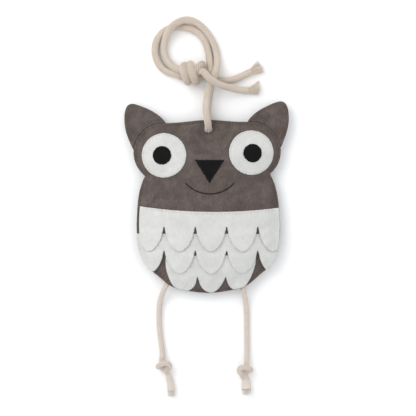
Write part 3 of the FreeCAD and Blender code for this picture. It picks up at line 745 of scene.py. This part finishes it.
def sheet_faces(faces, count):
    """Closed skin of a sheet: its top, its bottom (count further on) and the wall between."""
    directed = {(int(f[k]), int(f[(k + 1) % 3])) for f in faces for k in range(3)}
    wall = [(a, a + count, b + count, b) for a, b in directed if (b, a) not in directed]
    wall.sort()
    return faces.tolist() + (faces[:, ::-1] + count).tolist() + wall, len(wall)


def sheet_piece(name, flat, faces, top, bottom, loops, materials, edge=0.35):
    """Sheet with rounded cut edges between two heights at each point."""
    distance = edge_distance(flat, loops)
    rolled = 1 - np.minimum(distance, edge) / edge
    drop = edge * (1 - np.sqrt(np.clip(1 - rolled ** 2, 0, 1)))
    count = len(flat)
    points = np.empty((2 * count, 3))
    points[:count, :2] = points[count:, :2] = flat
    points[:count, 2] = top - drop
    points[count:, 2] = bottom + drop
    skin, walls = sheet_faces(faces, count)
    mesh = bpy.data.meshes.new(name)
    mesh.from_pydata((points * MM).tolist(), [], skin)
    for material in materials:
        mesh.materials.append(MATERIALS[material])
    near_edge = (distance[faces].max(1) <= edge * 1.01).astype(int).tolist()
    mesh.polygons.foreach_set("material_index", near_edge * 2 + [1] * walls)
    mesh.polygons.foreach_set("use_smooth", [True] * len(skin))
    mesh.update()
    made = bpy.data.objects.new(name, mesh)
    bpy.context.collection.objects.link(made)
    return made


# ---------------------------------------------------------------- the stuffed body
def puffed(node, loops, upwards):
    """Surface of a stuffed panel: the CAD skin, blown up a little as cloth sewn all round."""
    coarse = [even_loop(loop, 2.6) for loop in loops]
    flat, faces = triangulate(coarse, [(2.3, 2.6)], 2.7)
    heights = ray_heights(node_tree(node), flat, MM, upwards)
    rest = np.column_stack([flat, heights])
    mesh = bpy.data.meshes.new(node + "_cloth")
    skin = faces if upwards else faces[:, ::-1]
    mesh.from_pydata((rest * MM).tolist(), [], skin.tolist())
    cloth = bpy.data.objects.new(node + "_cloth", mesh)
    bpy.context.collection.objects.link(cloth)
    pins = cloth.vertex_groups.new(name="sewn")
    weight = 1 - np.clip((edge_distance(flat, coarse) - 3.4) / 3.0, 0, 1)
    for k, w in enumerate(weight):
        if w > 0:
            pins.add([k], float(w), "REPLACE")
    settings = cloth.modifiers.new("cloth", "CLOTH").settings
    settings.quality = 6
    settings.mass = 0.25
    settings.tension_stiffness = settings.compression_stiffness = 22
    settings.shear_stiffness = 12
    settings.bending_stiffness = 0.4
    settings.vertex_group_mass = "sewn"
    settings.use_pressure = True
    settings.uniform_pressure_force = 3.2
    settings.shrink_min = -0.018
    settings.effector_weights.gravity = 0
    for step in range(1, 21):
        bpy.context.scene.frame_set(step)
    result = cloth.evaluated_get(bpy.context.evaluated_depsgraph_get()).to_mesh()
    blown = np.array([v.co for v in result.vertices], float) / MM
    bpy.context.scene.frame_set(1)
    bpy.data.objects.remove(cloth)
    out = (blown[:, 2] - rest[:, 2]) * (1 if upwards else -1)
    out = np.clip(out, -0.25, 2.6)
    rest[:, 2] += out if upwards else -out
    return rest, faces


def smooth_heights(points, faces, passes=2):
    """The same surface with each height eased towards its neighbours'."""
    sides = np.concatenate([faces[:, [0, 1]], faces[:, [1, 2]], faces[:, [2, 0]]])
    edges = np.unique(np.sort(sides, axis=1), axis=0)
    z = points[:, 2].copy()
    for _ in range(passes):
        total = np.zeros(len(z))
        number = np.zeros(len(z))
        np.add.at(total, edges[:, 0], z[edges[:, 1]])
        np.add.at(total, edges[:, 1], z[edges[:, 0]])
        np.add.at(number, edges[:, 0], 1)
        np.add.at(number, edges[:, 1], 1)
        z = 0.5 * z + 0.5 * total / number
    return np.column_stack([points[:, :2], z])


def field_noise(points, scale, seed):
    return np.array([noise.noise(Vector((x * scale, y * scale, seed))) for x, y in points])


class Skin:
    """A stuffed panel's outer surface, which everything sewn on it follows."""

    def __init__(self, node, upwards):
        self.node, self.upwards = node, upwards
        self.loops = rims("front_panel")
        points, faces = puffed(node, self.loops, upwards)
        points = smooth_heights(points, faces, 1)
        self.tree = tree_of(points, faces)
        self.cad = node_tree(node)

    def heights(self, flat):
        z = ray_heights(self.tree, flat, 1.0, self.upwards)
        z += 0.35 * field_noise(flat, 0.045, 3.0) * np.clip(edge_distance(flat, self.loops[:1]) / 12, 0, 1)
        return z


STITCH_R = 0.34


def stitch_ends(node):
    """Both ends of each separate stitch of a CAD node, in mm."""
    made = tidy_mesh(node)
    left = set(made.verts)
    ends = []
    while left:
        stack = [min(left, key=lambda v: v.index)]
        left.discard(stack[0])
        group = []
        while stack:
            vert = stack.pop()
            group.append(vert.co[:])
            for edge in vert.link_edges:
                other = edge.other_vert(vert)
                if other in left:
                    left.discard(other)
                    stack.append(other)
        group = np.array(group) / MM
        middle = group.mean(0)
        axis = np.linalg.svd(group - middle)[2][0]
        reach = np.abs((group - middle) @ axis).max() - 0.2
        ends.append((middle - axis * reach, middle + axis * reach))
    made.free()
    return ends


def dents(flat, ends, depth=0.34, reach=0.85):
    """How far a sheet is pulled in at each point by the stitches across it."""
    pull = np.zeros(len(flat))
    for a, b in ends:
        a, b = a[:2], b[:2]
        near = np.nonzero((np.abs(flat - (a + b) / 2) < 4.5).all(1))[0]
        if len(near) == 0:
            continue
        run = b - a
        t = np.clip(((flat[near] - a) @ run) / float(run @ run), 0, 1)
        distance = np.linalg.norm(flat[near] - a - t[:, None] * run, axis=1)
        pull[near] = np.maximum(pull[near], depth * np.exp(-(distance / reach) ** 2))
    return pull


def stitch_piece(name, ends, height_at, material, seed, radius=STITCH_R, dip=0.55):
    """Thread stitches that come up out of the sheet, lie on it and go back in."""
    random.seed(seed)
    solid = Solid()
    at = np.linspace(0, 1, 9)
    arch = np.sin(math.pi * at) ** 0.55
    lines = []
    for a, b in ends:
        shift = np.array([random.uniform(-0.09, 0.09), random.uniform(-0.09, 0.09)])
        lines.append(a[None, :2] + (b - a)[None, :2] * at[:, None] + shift)
    ground = height_at(np.concatenate(lines)).reshape(len(lines), -1)
    for k, (line, level) in enumerate(zip(lines, ground)):
        base = np.interp(at, [0, 0.5, 1], [level[0], level[4], level[-1]])
        points = np.column_stack([line, base - dip + (dip + radius * 0.55) * arch])
        _, side, up = carried_frames(points)
        size = radius * random.uniform(0.9, 1.08)
        solid.tube(points, side, up, size, size * 0.86, 7, at * 3.2, k)
    return solid.make(name, material)


fine_rings = [(0.12, 1.3), (0.36, 1.3), (1.1, 1.4), (1.9, 1.4), (2.6, 1.2), (3.0, 1.2), (3.5, 1.2),
              (4.4, 1.6),
              (5.8, 1.9)]


def make_body():
    """Both stuffed panels that hold the filling between them."""
    ends = stitch_ends("edge_stitching")
    skins = {"front_panel": Skin("front_panel", True), "back_panel": Skin("back_panel", False)}
    loops = [even_loop(loop, 1.3) for loop in skins["front_panel"].loops]
    flat, faces = triangulate(loops, fine_rings, 2.1)
    pull = dents(flat, ends)
    seam = np.exp(-((edge_distance(flat, loops[:1]) - 3.0) / 1.1) ** 2) * 0.3
    front_top = skins["front_panel"].heights(flat)
    thick = front_top - ray_heights(skins["front_panel"].cad, flat, MM, True)
    front_bottom = ray_heights(skins["front_panel"].cad, flat, MM, False) + np.maximum(thick, 0)
    back_bottom = np.maximum(skins["back_panel"].heights(flat), 0.0)
    inner = ray_heights(skins["back_panel"].cad, flat, MM, True)
    back_top = inner - np.maximum(ray_heights(skins["back_panel"].cad, flat, MM, False) - back_bottom, 0)
    back_bottom = np.maximum(back_bottom + pull + seam, 0.0)
    front = sheet_piece("front_suede", flat, faces, front_top - pull - seam, front_bottom, loops,
                        ("suede", "suede_cut"))
    back = sheet_piece("back_suede", flat, faces, back_top, back_bottom, loops, ("suede", "suede_cut"))
    for piece, node in ((front, "front_panel"), (back, "back_panel")):
        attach(piece, "owl")
        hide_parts(node)
    return skins, ends


make_camera()
make_studio()
make_rope()
make_legs()
skins, edge_ends = make_body()
front_skin = skins["front_panel"]


def on_front(node):
    """Function that gives the height of a CAD sheet's top over the stuffed front panel."""
    cad = node_tree(node)

    def height(flat):
        raised = ray_heights(cad, flat, MM, True) - ray_heights(front_skin.cad, flat, MM, True)
        return front_skin.heights(flat) + np.maximum(raised, 0)
    return height


def applied(node, body, material, spacing, thickness, stitching=None, thread=None, seed=0,
            shape=None, blend=None, rings=((0.12, 0.9), (0.36, 0.9), (1.0, 1.1), (1.9, 1.2), (2.8, 1.4)),
            step=0.9):
    """A suede or felt piece sewn on the front, and its stitches."""
    loops = [even_loop(loop, step) for loop in rims(node)[:1]]
    flat, faces = triangulate(loops, list(rings), spacing)
    height = on_front(node)
    top = height(flat)
    if shape:
        top = top + shape(flat)
    ends = stitch_ends(stitching) if stitching else []
    top = top - dents(flat, ends, 0.3)
    cut = material.split("_")[0] + "_cut"
    piece = sheet_piece(node + "_cloth", flat, faces, top, top - thickness, loops, (material, cut), 0.32)
    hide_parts(node)
    made = [piece]
    if stitching:
        def lifted(points):
            return height(points) + (shape(points) if shape else 0)
        sewn = stitch_piece(stitching + "_thread", ends, lifted, thread, seed)
        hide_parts(stitching)
        made.append(sewn)
    for each in made:
        if blend:
            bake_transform(each)
        else:
            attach(each, body)
    return piece


def face():
    for side, seed in (("left", 21), ("right", 22)):
        applied(side + "_eye", "owl", "white_suede", 2.0, 1.2, side + "_eye_stitching",
                "white_thread", seed)
        applied(side + "_pupil", "owl", "black_felt", 1.6, 1.2)
    applied("beak", "owl", "black_felt", 1.7, 1.2, "beak_stitching", "black_thread", 23)


SMILE = ((-26.0, 17.6), (-0.4, 4.5), (31.3, 16.7))


def circle_through(a, b, c):
    """Centre and radius of the circle through three points."""
    (ax, ay), (bx, by), (cx, cy) = a, b, c
    d = 2 * (ax * (by - cy) + bx * (cy - ay) + cx * (ay - by))
    aa, bb, cc = ax * ax + ay * ay, bx * bx + by * by, cx * cx + cy * cy
    x = (aa * (by - cy) + bb * (cy - ay) + cc * (ay - by)) / d
    y = (aa * (cx - bx) + bb * (ax - cx) + cc * (bx - ax)) / d
    return x, y, math.hypot(ax - x, ay - y)


def smile():
    """Backstitched smile: two rows of short thick stitches, one close beside the other."""
    x, y, radius = circle_through(*SMILE)
    first = math.atan2(SMILE[0][1] - y, SMILE[0][0] - x)
    last = math.atan2(SMILE[2][1] - y, SMILE[2][0] - x)
    count = 23
    ends = []
    for k in range(count):
        a = first + (last - first) * (k - 0.12) / count
        b = first + (last - first) * (k + 1.12) / count
        for r in (radius - 0.28, radius + 0.28):
            ends.append(tuple(np.array([x + r * math.cos(t), y + r * math.sin(t), 0.0]) for t in (a, b)))
    piece = stitch_piece("smile_stitches", ends, front_skin.heights, "black_thread", 31, 0.42, 0.4)
    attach(piece, "owl")
    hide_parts("smile_thread")


def panel_stitches():
    def on_panel(points):
        return front_skin.heights(points) - 0.25
    piece = stitch_piece("edge_stitches", edge_ends, on_panel, "brown_thread", 41)
    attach(piece, "owl")
    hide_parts("edge_stitching")
    for side, seed in (("left", 42), ("right", 43)):
        node = side + "_leg_tack"
        piece = stitch_piece(node + "_stitches", stitch_ends(node), front_skin.heights, "brown_thread", seed)
        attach(piece, "owl")
        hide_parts(node)


# Each row of feathers: its notches' tops, its scallops' bottoms, and where it starts to bend as it lifts,
# which is passed on only as a flag that bakes the row in place, not used to bend it.
FEATHER_ROWS = (("top", -34.4, -64.4, -21.0), ("middle", -62.7, -90.9, -47.5),
                ("bottom", -93.6, -114.0, -73.0))


def feathers():
    """Three rows of white suede scallops, each sewn along its top and loose below."""
    for seed, (row, notch, bottom, hold) in enumerate(FEATHER_ROWS):
        def curl(flat, notch=notch, bottom=bottom, seed=seed):
            loose = np.clip((notch + 4 - flat[:, 1]) / (notch + 4 - bottom), 0, 1)
            return loose ** 2 * (0.5 + 0.9 * field_noise(flat, 0.05, 7.0 + seed))
        node = "feather_row_" + row
        piece = applied(node, "feathers_" + row, "white_suede", 2.2, 1.2,
                        "feather_stitching_" + row, "white_thread", 51 + seed, curl,
                        ((0, hold * MM, 0.03), (0, (hold - 12) * MM, 0.03)))


CHEEK = (53.2, 55.2, 35.7)      # centre and radius of the arc that each ear's inner edge follows
EAR_TUCK = 0.35                 # how far that edge is pushed against the cheek
EAR_OUTWARD = (0.6246, 0.7809)  # direction straight out from that line
EAR_WAVE = (75.5, 83.1)         # where the suede's slight wave starts
EAR_WAVE_REACH = 25.0           # and how far out it is full
EAR_RINGS = [(0.12, 1.1), (0.36, 1.1), (1.2, 1.3), (2.2, 1.3), (3.0, 1.1), (3.8, 1.4)]


def tucked(loop, sign):
    """An ear's outline with its inner edge pushed against the cheek."""
    away = loop - np.array([sign * CHEEK[0], CHEEK[1]])
    radius = np.linalg.norm(away, axis=1, keepdims=True)
    return loop - away / radius * EAR_TUCK * np.clip(1 - (radius - CHEEK[2]) / 2, 0, 1)


def ears():
    """Two layers of suede each, one stitched line inside the edge."""
    for side, sign in (("left", -1), ("right", 1)):
        loops = [tucked(even_loop(loop, 1.1), sign) for loop in rims(side + "_ear_front")[:1]]
        flat, faces = triangulate(loops, EAR_RINGS, 2.0)
        ends = stitch_ends(side + "_ear_stitching")
        outward = np.array([sign * EAR_OUTWARD[0], EAR_OUTWARD[1]])

        def wave(points):
            away = points - np.array([sign * EAR_WAVE[0], EAR_WAVE[1]])
            beyond = np.clip((away @ outward) / EAR_WAVE_REACH, 0, 1)
            return beyond * 1.1 * field_noise(points, 0.03, 11.0 + sign)
        lift = wave(flat)
        pull = dents(flat, ends, 0.32)
        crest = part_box(side + "_ear_front")[1].z / MM
        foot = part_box(side + "_ear_back")[0].z / MM
        middle = (crest + foot) / 2
        front = sheet_piece(side + "_ear_front_suede", flat, faces, crest + lift - pull,
                            middle + lift + 0.03, loops, ("suede", "suede_cut"))
        back = sheet_piece(side + "_ear_back_suede", flat, faces, middle + lift - 0.03,
                           foot + lift + pull, loops, ("suede", "suede_cut"))
        thread = stitch_piece(side + "_ear_stitches", ends, lambda p: crest + wave(p) - 0.2,
                              "brown_thread", 61 + sign)
        for piece, node, slot_name in ((front, "_ear_front", "suede"), (back, "_ear_back", "suede"),
                                       (thread, "_ear_stitching", "brown_thread")):
            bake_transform(piece)
            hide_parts(side + node)


def hidden_pieces():
    """The filling keeps its CAD shape, with a real material."""
    for slot in nodes["filling"].material_slots:
        slot.link = "OBJECT"
        slot.material = MATERIALS["stuffing"]


face()
smile()
panel_stitches()
feathers()
ears()
hidden_pieces()
